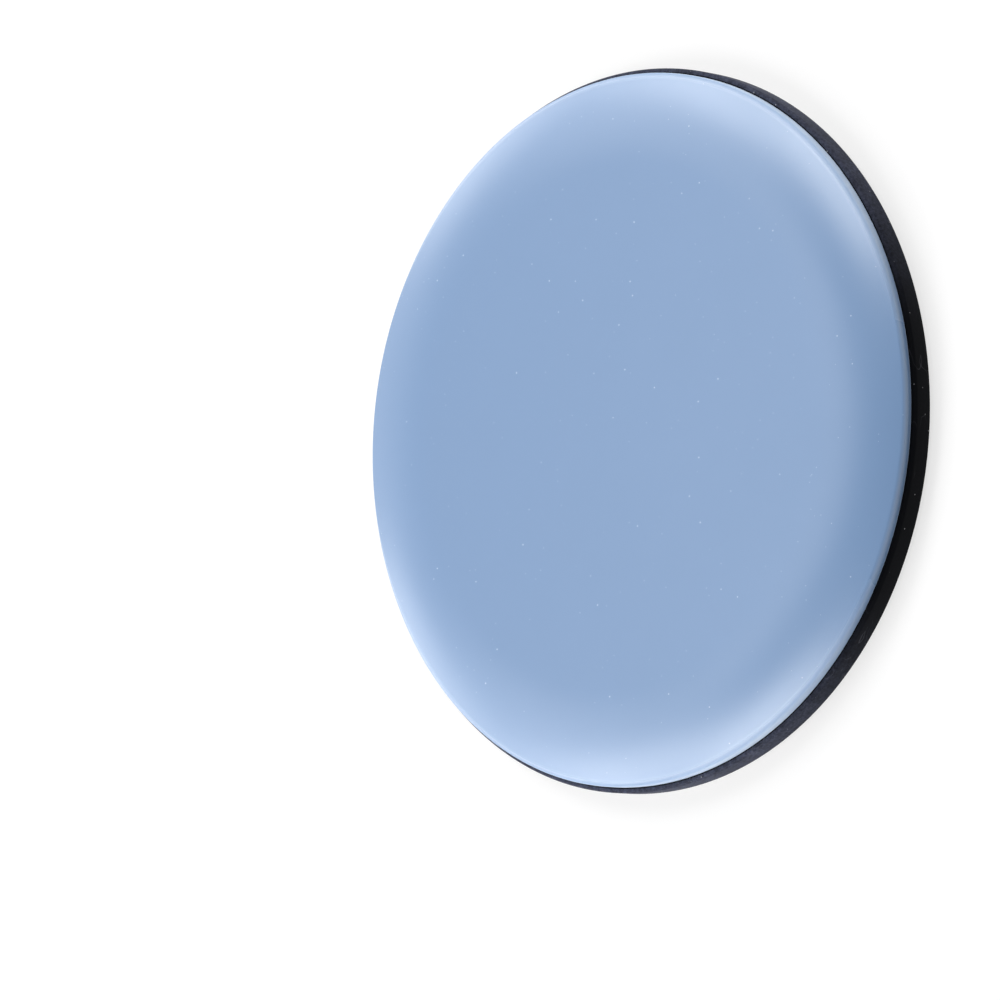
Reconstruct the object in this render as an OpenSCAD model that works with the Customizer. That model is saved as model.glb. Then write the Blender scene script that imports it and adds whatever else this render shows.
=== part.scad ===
// Round self-adhesive furniture slider, lying with its glide face up.
// A slippery cap with a rolled border is cemented over a crowned rubber base.
// A double-sided foam tape under the base sticks it to a furniture leg.
// A release liner covers the tape until the slider is fitted.
// Lengths are in millimetres. The origin is the centre of the liner's underside.

/* [Overall] */
// Diameter of the rubber base, the widest part of the slider
slider_d = 89; // [40:0.5:120]

/* [Glide cap] */
// Thickness of the cap's moulded sheet
cap_t = 1; // [0.8:0.1:2]
// How far the cap's edge stands in from the rubber wall
cap_setback = 0.7; // [0.5:0.05:1]
// Width of the rolled border, from the flat face out to the cap's edge
roll_w = 11.7; // [6:0.1:15]
// Radius of the rolled border's long arc
roll_r = 40.5; // [24:0.5:80]
// Radius of the rounded edge where the border turns down
edge_r = 0.5; // [0.3:0.1:1.6]
// Height of the upright edge below that rounding
edge_h = 0.8; // [0.1:0.05:1.5]

/* [Rubber base] */
// Height of the rubber wall that shows below the cap
wall_h = 2.8; // [1:0.05:6]
// Rounding of the wall's upper edge, just outside the cap
lip_round = 0.4; // [0.05:0.05:0.45]
// Rounding of the wall's lower edge
foot_round = 0.3; // [0.05:0.05:0.45]

/* [Cement and backing] */
// Thickness of the cement film between cap and rubber
cement_t = 0.1; // [0.05:0.01:0.3]
// Thickness of each adhesive coat of the tape
adhesive_t = 0.06; // [0.03:0.01:0.2]
// Thickness of the tape's foam carrier
carrier_t = 0.4; // [0.2:0.05:1]
// Thickness of the release liner
liner_t = 0.15; // [0.08:0.01:0.4]
// How far the tape and the liner stand in from the rubber wall
backing_inset = 0.7; // [0:0.05:2]

/* [Hidden] */
$fn = 96;

// Radii, from the axis out
base_r = slider_d / 2;
cap_r = base_r - cap_setback;
flat_r = cap_r - roll_w;
backing_r = base_r - backing_inset;

// Heights, from the liner's underside up
leg_side_z = liner_t;
carrier_z = leg_side_z + adhesive_t;
rubber_side_z = carrier_z + carrier_t;
base_z = rubber_side_z + adhesive_t;
seam_z = base_z + wall_h;
turn_z = seam_z + edge_h;

// The rolled border's arc is tangent to the flat face and to the rounded edge,
// which sets its centre, the face's height and the point where the arcs meet.
roll_z = turn_z - sqrt(pow(roll_r - edge_r, 2) - pow(roll_w - edge_r, 2));
face_z = roll_z + roll_r;
meet_slope = asin((roll_w - edge_r) / (roll_r - edge_r));
meet_r = cap_r - edge_r + edge_r * sin(meet_slope);

// How far a cutting outline runs past what it cuts
overrun = 1;

// Half section of a plain layer of the backing
module layer(bottom_z, thickness)
    rotate_extrude()
        translate([0, bottom_z])
            square([backing_r, thickness]);

// Quarter of a disc, its corner at the arc's centre, its arc up and outward
module quarter_disc(radius)
    intersection() {
        circle(radius);
        square(radius + overrun);
    }

// Outside of the cap, as a solid half section standing on the seam
module cap_outside() {
    translate([0, seam_z])
        square([flat_r, face_z - seam_z]);
    intersection() {
        translate([flat_r, roll_z])
            circle(roll_r);
        translate([flat_r, seam_z])
            square([meet_r - flat_r, face_z - seam_z + overrun]);
    }
    intersection() {
        translate([cap_r - edge_r, turn_z])
            quarter_disc(edge_r);
        translate([meet_r, turn_z])
            square([cap_r - meet_r + overrun, edge_r + overrun]);
    }
    translate([flat_r, seam_z])
        square([roll_w, edge_h]);
}

// Space under the cap's sheet at a given depth below its outside
module under_cap(depth, bottom_z) {
    translate([0, bottom_z])
        square([flat_r, face_z - depth - bottom_z]);
    intersection() {
        translate([flat_r, roll_z])
            circle(roll_r - depth);
        translate([flat_r, bottom_z])
            square([roll_w - depth, face_z - bottom_z]);
    }
}

// Half section of the base's wall, with its two rounded edges
module base_wall() {
    translate([0, base_z])
        square([base_r - foot_round, foot_round]);
    translate([base_r - foot_round, base_z + foot_round])
        mirror([0, 1])
            quarter_disc(foot_round);
    translate([0, base_z + foot_round])
        square([base_r, wall_h - foot_round - lip_round]);
    translate([0, seam_z - lip_round])
        square([base_r - lip_round, lip_round]);
    translate([base_r - lip_round, seam_z - lip_round])
        quarter_disc(lip_round);
}

// Slippery cap: flat face, rolled border and turned-down edge in one sheet
module glide_cap()
    color([0.58, 0.68, 0.82])
        rotate_extrude()
            difference() {
                cap_outside();
                under_cap(cap_t, seam_z - overrun);
            }

// Cement film that fills the space between the cap and the base's crown
module cap_cement()
    color([0.25, 0.26, 0.28])
        rotate_extrude()
            difference() {
                under_cap(cap_t, seam_z);
                under_cap(cap_t + cement_t, seam_z - overrun);
            }

// Rubber base: a straight wall with a lip, and a crown that seats the cap
module rubber_base()
    color([0.06, 0.06, 0.07])
        rotate_extrude() {
            base_wall();
            under_cap(cap_t + cement_t, seam_z);
        }

// Adhesive coat that holds the tape on the rubber
module rubber_side_adhesive()
    color([0.88, 0.86, 0.78])
        layer(rubber_side_z, adhesive_t);

// Foam carrier that gives the tape its body
module tape_carrier()
    color([0.95, 0.95, 0.94])
        layer(carrier_z, carrier_t);

// Adhesive coat that sticks to the furniture leg
module leg_side_adhesive()
    color([0.88, 0.86, 0.78])
        layer(leg_side_z, adhesive_t);

// Liner that is peeled off before the slider is fitted
module release_liner()
    color([0.97, 0.97, 0.96])
        layer(0, liner_t);

glide_cap();
cap_cement();
rubber_base();
rubber_side_adhesive();
tape_carrier();
leg_side_adhesive();
release_liner();
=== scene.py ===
# %% [markdown]
# # A stick-on furniture slider
# The slider is a disc that goes under a furniture leg. A blue-grey PTFE cap slides on the floor, a
# black rubber base carries the cap, and a foam tape with a peel-off liner sticks the base to the
# leg. The imported CAD model comes in first as a fixed frame, in metres, with +Z out of the glide
# face. Its box is kept, and the turned cap and base take their sizes from it.

# %% Load the imported slider
import math

import bpy
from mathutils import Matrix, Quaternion, Vector


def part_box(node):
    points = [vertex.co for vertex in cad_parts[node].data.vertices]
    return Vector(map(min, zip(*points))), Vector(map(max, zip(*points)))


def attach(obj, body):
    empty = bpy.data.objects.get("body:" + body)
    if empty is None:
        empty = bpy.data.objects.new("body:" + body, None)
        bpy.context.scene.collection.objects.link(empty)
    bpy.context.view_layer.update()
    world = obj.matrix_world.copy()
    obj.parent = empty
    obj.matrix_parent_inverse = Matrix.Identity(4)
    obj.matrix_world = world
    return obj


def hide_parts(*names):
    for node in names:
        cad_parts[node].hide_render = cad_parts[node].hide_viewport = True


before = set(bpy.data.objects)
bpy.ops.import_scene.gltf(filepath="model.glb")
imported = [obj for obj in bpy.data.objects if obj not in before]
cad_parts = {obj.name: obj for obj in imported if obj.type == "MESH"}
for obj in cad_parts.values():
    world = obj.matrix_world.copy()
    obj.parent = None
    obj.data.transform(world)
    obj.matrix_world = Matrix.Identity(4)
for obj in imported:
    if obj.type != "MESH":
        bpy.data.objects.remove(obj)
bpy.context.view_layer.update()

scene = bpy.context.scene
print("CAD nodes:", ", ".join(sorted(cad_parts)))

# %% [markdown]
# ## Camera
# The slider is seen through a long lens from about 48 degrees above its face, turned so that the
# far side of the disc points to the left of the picture. A camera can be aimed with a Track To
# constraint, but a constraint fights later views. Here the direction is worked out once as a
# quaternion: look at a point beside the disc, so that the disc sits right of the middle, then roll
# the camera about its own axis.

# %% Place the camera
VIEW_ELEVATION = math.radians(47.84)
VIEW_ROLL = math.radians(-83.99)
VIEW_DISTANCE = 0.7021
FIELD_OF_VIEW = math.radians(10)
AIM_SIDEWAYS = -0.01057
AIM_UP = 0.01755
SENSOR_WIDTH = 36

to_camera = Vector((-math.cos(VIEW_ELEVATION), 0, math.sin(VIEW_ELEVATION)))
sideways = Vector((0, 0, 1)).cross(to_camera).normalized()
upward = to_camera.cross(sideways)
aim = sideways * AIM_SIDEWAYS + upward * AIM_UP

lens = bpy.data.cameras.new("camera")
lens.sensor_width = SENSOR_WIDTH
lens.lens = SENSOR_WIDTH / 2 / math.tan(FIELD_OF_VIEW / 2)
camera = bpy.data.objects.new("camera", lens)
camera.location = to_camera * VIEW_DISTANCE
camera.rotation_mode = "QUATERNION"
look = (aim - camera.location).to_track_quat("-Z", "Y")
camera.rotation_quaternion = look @ Quaternion((0, 0, 1), VIEW_ROLL)
scene.collection.objects.link(camera)
scene.camera = camera
scene.view_settings.view_transform = "Standard"
print("camera:", round(lens.lens, 1), "mm lens at", [round(v, 3) for v in camera.location])

# %% [markdown]
# ## Studio light
# A satin cap shows its rolled border mostly through what it mirrors, so the light decides the look.
# Long low strips at both sides light the borders left and right of the viewer. Round panels run
# from the sides up and round behind the disc. They give the whitish glow near the rim, and close
# the gap in the highlight where the border turns down. The viewer's side has no lamp, so the near
# edge stays darker. Area lamps are used because they can be placed and sized like real softboxes.
# The strips leave no mirror image, as if a polarising filter took their glare away; without that
# they would burn out the face in a view from low down. Azimuths and elevations are in degrees, and
# the left strip is a little brighter than the right one.

# %% Hang the softboxes
SOFTBOX_DISTANCE = 1.0
PANEL = (0.36, 0.36)
STRIP = (1.2, 0.18)
STRIP_AZIMUTH, STRIP_ELEVATION = 96, 5.5
LEFT_STRIP_BRIGHTNESS, RIGHT_STRIP_BRIGHTNESS = 12.5, 9.5


def softbox(name, azimuth, elevation, brightness, size=PANEL, mirrored=True):
    """An area lamp that faces the slider; brightness is its radiance, where 1 is a white wall."""
    turn, lift = math.radians(azimuth), math.radians(elevation)
    reach = math.cos(lift)
    direction = Vector((reach * math.cos(turn), reach * math.sin(turn), math.sin(lift)))
    is_round = size == PANEL
    lamp = bpy.data.lights.new(name, "AREA")
    lamp.shape = "ELLIPSE" if is_round else "RECTANGLE"
    lamp.size, lamp.size_y = size
    area = size[0] * size[1] * (math.pi / 4 if is_round else 1)
    lamp.energy = brightness * math.pi * area
    box = bpy.data.objects.new(name, lamp)
    box.location = direction * SOFTBOX_DISTANCE
    box.rotation_mode = "QUATERNION"
    box.rotation_quaternion = direction.to_track_quat("Z", "Y")
    box.visible_camera = False
    box.visible_glossy = mirrored
    scene.collection.objects.link(box)
    print(name, "at azimuth", azimuth, "elevation", elevation)


for side, name, strip_brightness in (
    (1, "left", LEFT_STRIP_BRIGHTNESS),
    (-1, "right", RIGHT_STRIP_BRIGHTNESS),
):
    softbox(
        f"low_{name}",
        azimuth=side * STRIP_AZIMUTH,
        elevation=STRIP_ELEVATION,
        brightness=strip_brightness,
        size=STRIP,
        mirrored=False,
    )
    softbox(f"side_{name}", azimuth=side * 80, elevation=32, brightness=6.5)
    softbox(f"over_{name}", azimuth=side * 110, elevation=45, brightness=4.0)
    softbox(f"high_{name}", azimuth=side * 60, elevation=58, brightness=5.1)
    softbox(f"shoulder_{name}", azimuth=side * 45, elevation=45, brightness=3.0)
    softbox(f"flank_{name}", azimuth=side * 40, elevation=32, brightness=2.9)
    softbox(f"rear_{name}", azimuth=side * 25, elevation=45, brightness=1.3)
    softbox(f"back_{name}", azimuth=side * 20, elevation=20, brightness=1.6)
    softbox(f"horizon_{name}", azimuth=side * 20, elevation=8, brightness=2.5)
softbox("top", azimuth=0, elevation=58, brightness=1.2)

# %% [markdown]
# ## Nodes
# Every finish below is a small network of shader nodes. One helper adds a node and fills in its
# sockets, and takes either a plain value or another node's output for each of them.

# %% Helper for shader nodes
def add_node(tree, kind, sockets=None, **settings):
    """Add a shader node; a socket's value may be a constant or the output socket that feeds it."""
    node = tree.nodes.new("ShaderNode" + kind)
    for name, value in settings.items():
        setattr(node, name, value)
    for name, value in (sockets or {}).items():
        if isinstance(value, bpy.types.NodeSocket):
            tree.links.new(value, node.inputs[name])
        else:
            node.inputs[name].default_value = value
    return node


def calculate(tree, operation, first, second=0.0):
    """One sum of two numbers or outputs, as an output."""
    return add_node(tree, "Math", {0: first, 1: second}, operation=operation).outputs[0]


def product(tree, first, *others):
    """Several numbers or outputs multiplied together."""
    for other in others:
        first = calculate(tree, "MULTIPLY", first, other)
    return first


def seen_directly(tree):
    """1 for what the camera sees, mirrored or not; 0 for the light that falls on things."""
    ray = add_node(tree, "LightPath").outputs
    indirect = calculate(tree, "MAXIMUM", ray["Is Glossy Ray"], ray["Is Transmission Ray"])
    return calculate(tree, "MAXIMUM", ray["Is Camera Ray"], indirect)


# %% [markdown]
# ## Floor and surroundings
# The slider lies on a white table top in front of a white backdrop. The table is a plain diffuse
# sheet that catches the slider's shadow; a little light of its own, which only the camera and
# mirroring surfaces see, lifts it to white without lighting the slider. It grows with the distance,
# where the softboxes reach less, so that the table meets the backdrop without a line. The
# surroundings work in the same way: white at eye level, dim overhead, and dark for everything but
# such rays.

# %% Lay the floor
FLOOR_HALF = 4.0
FLOOR_GREY = 0.34
FLOOR_GLOW = 0.68
POOL_RADIUS = 0.2
POOL_END = 0.9

corners = [(x * FLOOR_HALF, y * FLOOR_HALF, 0) for x, y in ((-1, -1), (1, -1), (1, 1), (-1, 1))]
floor_mesh = bpy.data.meshes.new("table_top")
floor_mesh.from_pydata(corners, [], [(0, 1, 2, 3)])
floor = bpy.data.objects.new("table_top", floor_mesh)
scene.collection.objects.link(floor)

table_white = bpy.data.materials.new("table_white")
table_white.use_nodes = True
tree = table_white.node_tree
tree.nodes.clear()
sheet = add_node(tree, "BsdfDiffuse", {"Color": (FLOOR_GREY, FLOOR_GREY, FLOOR_GREY, 1)})
spot = add_node(tree, "TexCoord").outputs["Object"]
distance = add_node(tree, "VectorMath", {0: spot}, operation="LENGTH").outputs["Value"]
pool = {"From Min": POOL_RADIUS, "From Max": POOL_END, "To Min": FLOOR_GLOW, "To Max": 1.0}
own_light = add_node(tree, "MapRange", {"Value": distance, **pool}).outputs[0]
glow = add_node(tree, "Emission", {"Strength": product(tree, seen_directly(tree), own_light)})
both = add_node(tree, "AddShader", {0: sheet.outputs[0], 1: glow.outputs[0]})
add_node(tree, "OutputMaterial", {"Surface": both.outputs[0]})
floor_mesh.materials.append(table_white)

# %% Surround it with white
WALL_TOP = 0.35
CEILING = 0.06

studio = bpy.data.worlds.new("studio")
studio.use_nodes = True
scene.world = studio
tree = studio.node_tree
tree.nodes.clear()
direction = add_node(tree, "TexCoord").outputs["Generated"]
height = add_node(tree, "SeparateXYZ", {0: direction}).outputs["Z"]
fading = {"From Min": WALL_TOP, "From Max": 1.0, "To Min": 1.0, "To Max": CEILING}
sockets = {"Value": height, **fading}
wall = add_node(tree, "MapRange", sockets, interpolation_type="SMOOTHSTEP").outputs[0]
shown = product(tree, wall, seen_directly(tree))
backdrop = add_node(tree, "Background", {"Color": (1, 1, 1, 1), "Strength": shown})
add_node(tree, "OutputWorld", {"Surface": backdrop.outputs[0]})
print("floor:", 2 * FLOOR_HALF, "m wide")

# %% [markdown]
# ## Shared surface detail
# Dust and grain turn up on every piece of the slider, so they get functions of their own. All
# patterns use object coordinates in metres, which stay on a piece if it is moved.

# %% Patterns
MOST_NOISE = (0.3, 0.7)
MID_NOISE = (0.35, 0.65)
SPECK_CORE = 0.4


def finish(name):
    """A new material with an empty network, and the object coordinates that its patterns use."""
    material = bpy.data.materials.new(name)
    material.use_nodes = True
    material.node_tree.nodes.clear()
    place = add_node(material.node_tree, "TexCoord").outputs["Object"]
    return material, material.node_tree, place


def stretched(tree, place, x=1, y=1, z=1):
    """The same place with an axis stretched, for a grain that runs one way."""
    return add_node(tree, "Mapping", {"Vector": place, "Scale": (x, y, z)}).outputs[0]


def cloud(tree, place, size, detail=2.0, roughness=0.5):
    """Soft noise whose blotches are about size metres across, from 0 to 1."""
    sockets = {"Vector": place, "Scale": 1 / size, "Detail": detail, "Roughness": roughness}
    return add_node(tree, "TexNoise", sockets).outputs["Fac"]


def remap(tree, value, low, high, new_low=0.0, new_high=1.0):
    """Stretch the range low to high of a pattern over a new range."""
    sockets = {"Value": value, "From Min": low, "From Max": high}
    sockets.update({"To Min": new_low, "To Max": new_high})
    return add_node(tree, "MapRange", sockets).outputs[0]


def ease(tree, value, low, high):
    """0 up to low, 1 from high on, and a soft change between them."""
    sockets = {"Value": value, "From Min": low, "From Max": high}
    return add_node(tree, "MapRange", sockets, interpolation_type="SMOOTHSTEP").outputs[0]


def specks(tree, place, spacing, radius, cover):
    """Dust dots up to radius metres, where cells of a Voronoi pattern lie near the surface."""
    cells = add_node(tree, "TexVoronoi", {"Vector": place, "Scale": 1 / spacing})
    edge = radius / spacing
    return remap(tree, cells.outputs["Distance"], edge, SPECK_CORE * edge, 0, cover)


def distance_from_axis(tree, place):
    """How far each place lies from the disc's axis."""
    flat = add_node(tree, "VectorMath", {0: place, 1: (1, 1, 0)}, operation="MULTIPLY")
    return add_node(tree, "VectorMath", {0: flat.outputs[0]}, operation="LENGTH").outputs["Value"]


# %% Colours, relief and shader
def blend(tree, share, first, second):
    """Two colours mixed by a pattern."""
    mix = add_node(tree, "Mix", {"Factor": share}, data_type="RGBA")
    for socket, colour in ((mix.inputs[6], first), (mix.inputs[7], second)):
        if isinstance(colour, bpy.types.NodeSocket):
            tree.links.new(colour, socket)
        else:
            socket.default_value = (*colour, 1)
    return mix.outputs[2]


def relief(tree, height, depth):
    """A bump of the given depth in metres."""
    return add_node(tree, "Bump", {"Height": height, "Distance": depth}).outputs[0]


def surface(tree, colour, roughness, normal, **constants):
    """The Principled shader that every finish ends in."""
    sockets = {"Base Color": colour, "Roughness": roughness, "Normal": normal}
    shader = add_node(tree, "BsdfPrincipled", sockets)
    for name, value in constants.items():
        shader.inputs[name.replace("_", " ")].default_value = value
    add_node(tree, "OutputMaterial", {"Surface": shader.outputs[0]})


def dress(node, material):
    """Give a CAD node its finish."""
    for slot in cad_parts[node].material_slots:
        slot.material = material
    print(node, "wears", material.name)


# %% [markdown]
# ## Turned shapes
# Cap and base are bodies of revolution. A Screw modifier can turn an outline, and so can the CAD
# solid, whose facets would show in a satin highlight. Here each outline is written as points from
# the axis out and back, with fine steps on its arcs, and turned into rings of quads, so that the
# highlights run smoothly round.

# %% Helpers that turn an outline about the axis
TURN_STEPS = 240
FLAT_RINGS = 6
CORNER = math.radians(30)


def arc(centre, radius, start, end, steps):
    """Points on an arc of an outline; angles in radians from the outward direction, upwards."""
    angles = [start + (end - start) * step / steps for step in range(steps + 1)]
    return [(centre[0] + radius * math.cos(a), centre[1] + radius * math.sin(a)) for a in angles]


def flat_points(radius, height):
    """Points of a flat face, from the axis out to the last ring inside the radius."""
    return [(radius * ring / FLAT_RINGS, height) for ring in range(FLAT_RINGS)]


def clear_radius(low, high):
    """The largest radius that stays inside a faceted box all round."""
    return min(-low.x, high.x, -low.y, high.y)


def turned(name, outline):
    """Turn (radius, height) points, which start and end on the axis, into a closed mesh."""
    points, faces, rings = [], [], []
    for radius, height in outline:
        count = TURN_STEPS if radius > 0 else 1
        rings.append(range(len(points), len(points) + count))
        for step in range(count):
            turn = 2 * math.pi * step / TURN_STEPS
            points.append((radius * math.cos(turn), radius * math.sin(turn), height))
    for inner, outer in zip(rings, rings[1:]):
        around = ((inner, 0), (outer, 0), (outer, 1), (inner, 1))
        for step in range(TURN_STEPS):
            corners = [ring[(step + k) % len(ring)] for ring, k in around]
            faces.append(tuple(dict.fromkeys(corners)))
    mesh = bpy.data.meshes.new(name)
    mesh.from_pydata(points, [], faces)
    mesh.shade_smooth()
    mesh.set_sharp_from_angle(angle=CORNER)
    piece = bpy.data.objects.new(name, mesh)
    scene.collection.objects.link(piece)
    print(name, "is turned from", len(outline), "points into", len(faces), "faces")
    return piece


# %% [markdown]
# ## Cap
# The cap is one moulded sheet: a flat face, a rolled border that falls away in a long arc, a
# rounded edge and a short upright rim down to the rubber. The two arcs share their tangent, so the
# border has no crease.

# %% Turn the glide cap
CAP_SHEET = 0.001
ROLL_WIDTH = 0.0117
ROLL_RADIUS = 0.0405
EDGE_RADIUS = 0.0005
ROLL_STEPS = 24
EDGE_STEPS = 10

cap_low, cap_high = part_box("glide_cap")
cap_radius, seam, face = clear_radius(cap_low, cap_high), cap_low.z, cap_high.z
flat_radius = cap_radius - ROLL_WIDTH
roll_centre = (flat_radius, face - ROLL_RADIUS)
steepest = math.asin((ROLL_WIDTH - EDGE_RADIUS) / (ROLL_RADIUS - EDGE_RADIUS))
edge_rise = math.sqrt((ROLL_RADIUS - EDGE_RADIUS) ** 2 - (ROLL_WIDTH - EDGE_RADIUS) ** 2)
edge_centre = (cap_radius - EDGE_RADIUS, roll_centre[1] + edge_rise)


def under_roll(depth):
    """The rolled border at a depth below its face, from the flat out to the rim's inside."""
    reach = math.asin((ROLL_WIDTH - depth) / (ROLL_RADIUS - depth))
    return arc(roll_centre, ROLL_RADIUS - depth, math.pi / 2, math.pi / 2 - reach, ROLL_STEPS)


cap_outline = flat_points(flat_radius, face)
cap_outline += arc(roll_centre, ROLL_RADIUS, math.pi / 2, math.pi / 2 - steepest, ROLL_STEPS)
cap_outline += arc(edge_centre, EDGE_RADIUS, math.pi / 2 - steepest, 0, EDGE_STEPS)[1:]
cap_outline += [(cap_radius, seam), (cap_radius - CAP_SHEET, seam)]
cap_outline += under_roll(CAP_SHEET)[::-1]
cap_outline += flat_points(flat_radius, face - CAP_SHEET)[::-1]

cap = turned("turned_cap", cap_outline)
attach(cap, "slider")
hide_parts("glide_cap")

# %% [markdown]
# ## PTFE of the cap
# The cap is moulded from filled PTFE: an even blue-grey with a satin sheen, faintly cloudy from the
# filler, with a fine grain and a few specks of dust. On two opposite sides the edge that turns down
# is lightened, a painted highlight where the side light falls, and rubbed matt; a painted highlight
# also runs all round as a pale line just above the rubber. These marks could be painted on the
# mesh; here they follow from height and distance from the axis, so they fit any size of disc.

# %% Colour and sheen of the glide cap
PTFE = (0.188, 0.304, 0.506)
PTFE_CLOUD = (0.182, 0.297, 0.496)
FILLER_SIZE = 0.012
GRAIN_SIZE = 0.0004
SATIN = (0.24, 0.27)
DUST_MATT = 0.2

ptfe, tree, place = finish("ptfe")
filler = remap(tree, cloud(tree, place, FILLER_SIZE, detail=4), *MOST_NOISE)
grain = cloud(tree, place, GRAIN_SIZE)
coarse_dust = specks(tree, place, spacing=0.0028, radius=0.00012, cover=0.42)
fine_dust = specks(tree, place, spacing=0.0014, radius=0.00008, cover=0.22)
dust = calculate(tree, "MAXIMUM", coarse_dust, fine_dust)
colour = blend(tree, filler, PTFE, PTFE_CLOUD)
satin = remap(tree, filler, 0, 1, *SATIN)
satin = calculate(tree, "ADD", satin, product(tree, dust, DUST_MATT))
print("filler blotches:", 1000 * FILLER_SIZE, "mm; grain:", 1000 * GRAIN_SIZE, "mm")

# %% Painted highlights and rubbed edge of the glide cap
PTFE_DUST = (0.62, 0.70, 0.80)
# The pale blue below is painted highlight for the turned-down edge and the line just above the
# rubber.
PTFE_PAINTED_HIGHLIGHT = (0.56, 0.66, 0.80)
HIGHLIGHT_LINE_HEIGHT, LINE_HIGHLIGHT = 0.0002, 0.5
BROW_WIDTH, BROW_HIGHLIGHT = 0.0004, 0.28
RUBBED_WIDTH, RUBBED_MATT = 0.0001, 0.25
PATCH_SIZE = 0.003
PATCH_HIGHLIGHT = (0.7, 0.95)
SIDES_FROM, SIDES_TO = 0.25, 0.85
GRAIN_DEPTH = 0.000002

where = add_node(tree, "SeparateXYZ", {0: place})
aside = calculate(tree, "ABSOLUTE", where.outputs["Y"])
height = where.outputs["Z"]
from_axis = distance_from_axis(tree, place)
turn_radius, turn_height = edge_centre
turn_middle = turn_radius + EDGE_RADIUS / 2

# Painted highlight: the turned-down edge is lighter on the two opposite sides that the side light
# catches; the same mask also makes that edge rougher.
sides_highlit_and_rubbed = ease(tree, aside, SIDES_FROM * cap_radius, SIDES_TO * cap_radius)
below_turn = remap(tree, height, turn_height + EDGE_RADIUS, turn_height)
painted_highlight_brow = remap(tree, from_axis, turn_radius - BROW_WIDTH, turn_radius + RUBBED_WIDTH, 0, BROW_HIGHLIGHT)
patchy = remap(tree, cloud(tree, place, PATCH_SIZE, detail=3), *MOST_NOISE, *PATCH_HIGHLIGHT)
painted_highlight_edge = product(tree, sides_highlit_and_rubbed, calculate(tree, "MAXIMUM", below_turn, painted_highlight_brow), patchy)
# Painted highlight: a pale line all round the rim, just above the rubber.
painted_highlight_line = remap(tree, height, seam + HIGHLIGHT_LINE_HEIGHT, seam, 0, LINE_HIGHLIGHT)
colour = blend(tree, calculate(tree, "MAXIMUM", painted_highlight_edge, painted_highlight_line), colour, PTFE_PAINTED_HIGHLIGHT)
colour = blend(tree, dust, colour, PTFE_DUST)
rubbed = remap(tree, from_axis, turn_radius - RUBBED_WIDTH, turn_middle, 0, RUBBED_MATT)
satin = calculate(tree, "ADD", satin, product(tree, rubbed, sides_highlit_and_rubbed))
surface(tree, colour, satin, relief(tree, grain, GRAIN_DEPTH), Specular_IOR_Level=1.0)
cap.data.materials.append(ptfe)
print("cap wears", ptfe.name)

# %% [markdown]
# ## Rubber base
# The base is a thick disc with a straight wall, a small lip outside the cap and a low crown that
# fills the cap. Its upper and lower edges are slightly rounded, as cut and handled rubber is.

# %% Turn the rubber base
LIP_ROUND = 0.0004
FOOT_ROUND = 0.0003
ROUND_STEPS = 8
CEMENT_FILM = 0.0001

base_low, base_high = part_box("rubber_base")
base_radius, base_bottom = clear_radius(base_low, base_high), base_low.z
crown_depth = CAP_SHEET + CEMENT_FILM

foot_centre = (base_radius - FOOT_ROUND, base_bottom + FOOT_ROUND)
lip_centre = (base_radius - LIP_ROUND, seam - LIP_ROUND)

base_outline = flat_points(base_radius - FOOT_ROUND, base_bottom)
base_outline += arc(foot_centre, FOOT_ROUND, -math.pi / 2, 0, ROUND_STEPS)
base_outline += arc(lip_centre, LIP_ROUND, 0, math.pi / 2, ROUND_STEPS)
base_outline += [(cap_radius - crown_depth, seam)]
base_outline += under_roll(crown_depth)[::-1]
base_outline += flat_points(flat_radius, face - crown_depth)[::-1]

base = turned("turned_base", base_outline[::-1])
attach(base, "slider")
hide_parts("rubber_base")

# %% [markdown]
# ## Rubber
# The rubber is dense and black. On two opposite sides it is painted a blotchy, finely speckled
# slate grey, a painted sheen where the side light grazes it, while the near and far sides stay
# black. On the ledge beside the cap the painted sheen is stronger, a painted highlight, and the
# corner right at the cap and the rounded foot are kept black as painted shade. Hairline scuffs and
# a few white specks lie over it. Height and distance from the axis come from the object
# coordinates, so the painted sheen and the dust sit where they belong.

# %% Painted sheen and painted shade of the rubber
PAINTED_SHEEN_FROM, PAINTED_SHEEN_TO = 0.34, 0.86
BLOTCH_SIZE = 0.0035
BLOTCH_COVER = (0.36, 0.63)
SPECKLE_SIZE = 0.0004
SPECKLE_COVER = (0.55, 1.45)
LEDGE_HIGHLIGHT = 1.3
SHADE_CORNER_WIDTH = 0.00022

rubber, tree, place = finish("rubber")
where = add_node(tree, "SeparateXYZ", {0: place})
aside = calculate(tree, "ABSOLUTE", where.outputs["Y"])
height = where.outputs["Z"]
from_axis = distance_from_axis(tree, place)

# Painted sheen: the two opposite sides are lighter, as if they caught the side light; the near and
# far sides stay black.
painted_sheen_sides = ease(tree, aside, PAINTED_SHEEN_FROM * base_radius, PAINTED_SHEEN_TO * base_radius)
blotches = cloud(tree, place, BLOTCH_SIZE, detail=4, roughness=0.6)
blotches = remap(tree, blotches, *MOST_NOISE, *BLOTCH_COVER)
speckle = cloud(tree, place, SPECKLE_SIZE, detail=3, roughness=0.7)
speckle = remap(tree, speckle, *MID_NOISE, *SPECKLE_COVER)
# Painted highlight: the painted sheen is stronger on the ledge beside the cap.
ledge_painted_highlight = remap(tree, from_axis, base_radius - LIP_ROUND, base_radius, LEDGE_HIGHLIGHT, 1)
# Painted shade: the corner right at the cap gets no sheen, so it stays black.
painted_shade_corner = remap(tree, from_axis, cap_radius + SHADE_CORNER_WIDTH / 2, cap_radius + SHADE_CORNER_WIDTH)
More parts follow.
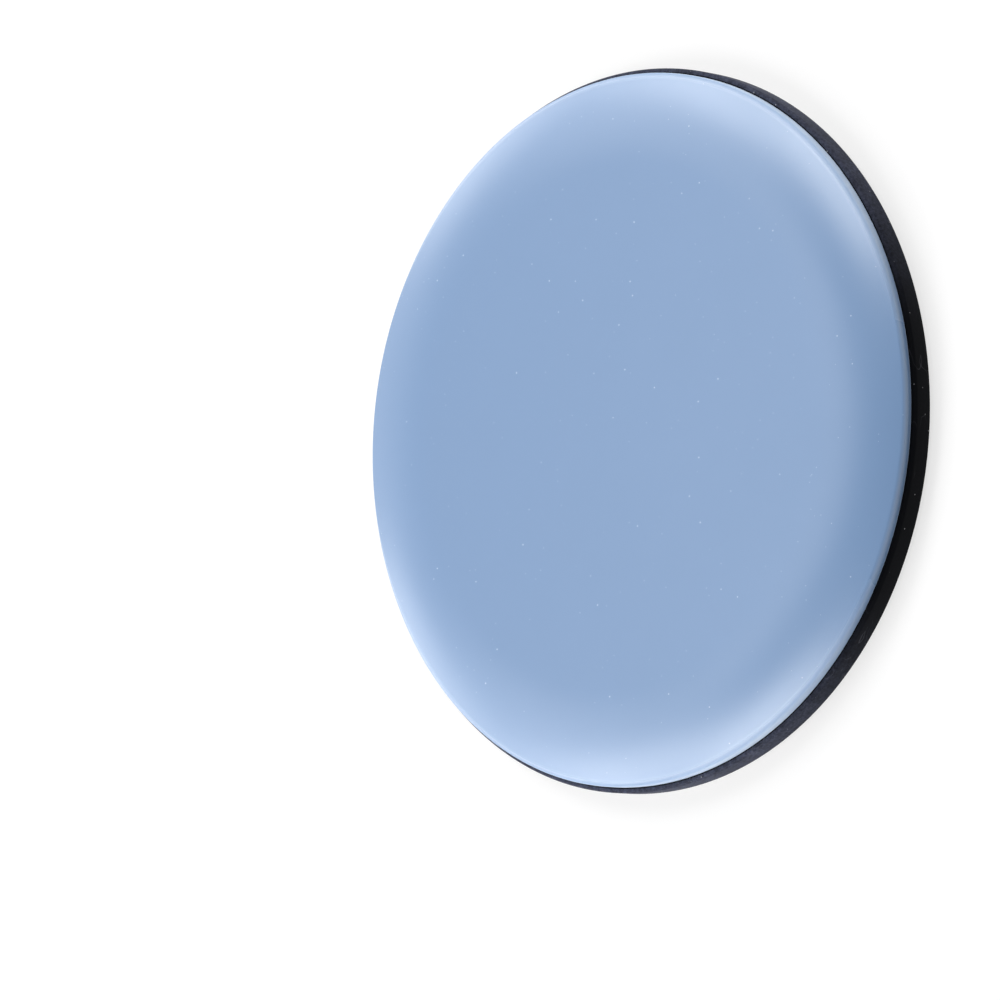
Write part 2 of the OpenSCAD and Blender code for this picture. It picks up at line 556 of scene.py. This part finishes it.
# Painted shade: the rounded foot gets no sheen, so it stays black.
painted_shade_foot = remap(tree, height, base_bottom + FOOT_ROUND / 2, base_bottom + FOOT_ROUND)
painted_sheen = product(tree, painted_sheen_sides, blotches, speckle, ledge_painted_highlight, painted_shade_corner, painted_shade_foot)
print("bloom from", round(1000 * PAINTED_SHEEN_FROM * base_radius, 1), "mm aside")

# %% Scuffs, dust and finish of the rubber
RUBBER = (0.0028, 0.0031, 0.0042)
# The slate grey below is the colour of the painted sheen.
RUBBER_PAINTED_SHEEN = (0.078, 0.086, 0.128)
RUBBER_SCUFF = (0.13, 0.13, 0.15)
RUBBER_DUST = (0.45, 0.45, 0.47)
HAIR_SIZE = 0.005
HAIR_LEVEL = 0.5
HAIR_EDGE, HAIR_CORE = 0.008, 0.003
HAIR_PATCH = 0.009
HAIR_SHOWS = (0.52, 0.62)
HAIR_COVER = 0.25
DULL = (0.5, 0.66)
SPECKLE_DEPTH = 0.000008

waves = cloud(tree, stretched(tree, place, z=2), HAIR_SIZE)
off_level = calculate(tree, "ABSOLUTE", calculate(tree, "SUBTRACT", waves, HAIR_LEVEL))
hairs = remap(tree, off_level, HAIR_EDGE, HAIR_CORE)
patches = remap(tree, cloud(tree, place, HAIR_PATCH), *HAIR_SHOWS)
dust = specks(tree, place, spacing=0.0014, radius=0.00011, cover=0.8)
# Painted sheen: the black rubber turns slate grey where the sheen mask is high.
colour = blend(tree, painted_sheen, RUBBER, RUBBER_PAINTED_SHEEN)
colour = blend(tree, product(tree, hairs, patches, HAIR_COVER), colour, RUBBER_SCUFF)
colour = blend(tree, dust, colour, RUBBER_DUST)
surface(
    tree,
    colour,
    remap(tree, painted_sheen, 0, 1, *DULL),
    relief(tree, speckle, SPECKLE_DEPTH),
    Specular_IOR_Level=0.03,
    Sheen_Weight=0.06,
    Sheen_Roughness=0.35,
    Sheen_Tint=(0.85, 0.87, 1.0, 1),
)
base.data.materials.append(rubber)
print("base wears", rubber.name)

# %% [markdown]
# ## Cement, adhesive, foam and liner
# The rest hardly shows while the slider is whole. The cement is a dark cured film under the cap.
# The tape is a white foam between two pale, tacky coats, and the liner is a smooth coated paper.

# %% Finish of the cement
CEMENT = (0.05, 0.05, 0.055)
CEMENT_THIN = (0.085, 0.08, 0.075)
CEMENT_SHEEN = (0.35, 0.55)
FLOW_SIZE, FLOW_DEPTH = 0.004, 0.00002

cement, tree, place = finish("cement")
flow = cloud(tree, place, FLOW_SIZE, detail=4)
colour = blend(tree, remap(tree, flow, *MID_NOISE), CEMENT, CEMENT_THIN)
sheen = remap(tree, flow, *MOST_NOISE, *CEMENT_SHEEN)
surface(tree, colour, sheen, relief(tree, flow, FLOW_DEPTH))
dress("cap_cement", cement)

# %% Finish of the two adhesive coats
TACK = (0.74, 0.71, 0.62)
TACK_THICK = (0.66, 0.61, 0.50)
TACK_SHEEN = (0.12, 0.25)
RIPPLE_SIZE, RIPPLE_DEPTH = 0.006, 0.00003
RIPPLE_SHOWS = (0.35, 0.7)

adhesive, tree, place = finish("adhesive")
ripple = cloud(tree, stretched(tree, place, y=5), RIPPLE_SIZE, detail=3)
colour = blend(tree, remap(tree, ripple, *RIPPLE_SHOWS), TACK, TACK_THICK)
sheen = remap(tree, ripple, *MOST_NOISE, *TACK_SHEEN)
surface(tree, colour, sheen, relief(tree, ripple, RIPPLE_DEPTH))
dress("rubber_side_adhesive", adhesive)
dress("leg_side_adhesive", adhesive)

# %% Finish of the foam carrier
FOAM = (0.70, 0.70, 0.69)
FOAM_CELL = (0.54, 0.54, 0.54)
CELL_SIZE, CELL_DEPTH = 0.00016, 0.00004
CELL_EDGE, CELL_CORE = 0.25, 0.05
CELL_REACH = 0.6
FOAM_DULL = (0.95, 0.8)

foam, tree, place = finish("foam")
cells = add_node(tree, "TexVoronoi", {"Vector": place, "Scale": 1 / CELL_SIZE})
from_middle = cells.outputs["Distance"]
colour = blend(tree, remap(tree, from_middle, CELL_EDGE, CELL_CORE), FOAM, FOAM_CELL)
dull = remap(tree, from_middle, 0, CELL_REACH, *FOAM_DULL)
surface(tree, colour, dull, relief(tree, from_middle, CELL_DEPTH))
dress("tape_carrier", foam)

# %% Finish of the release liner
LINER = (0.70, 0.70, 0.69)
LINER_FIBRE = (0.62, 0.615, 0.60)
LINER_SHEEN = (0.5, 0.6)
FIBRE_SIZE, FIBRE_DEPTH = 0.0012, 0.000006

liner, tree, place = finish("liner")
fibre = cloud(tree, stretched(tree, place, y=4), FIBRE_SIZE, detail=5, roughness=0.6)
colour = blend(tree, remap(tree, fibre, *MID_NOISE), LINER, LINER_FIBRE)
sheen = remap(tree, fibre, *MOST_NOISE, *LINER_SHEEN)
surface(tree, colour, sheen, relief(tree, fibre, FIBRE_DEPTH), Specular_IOR_Level=0.2)
dress("release_liner", liner)
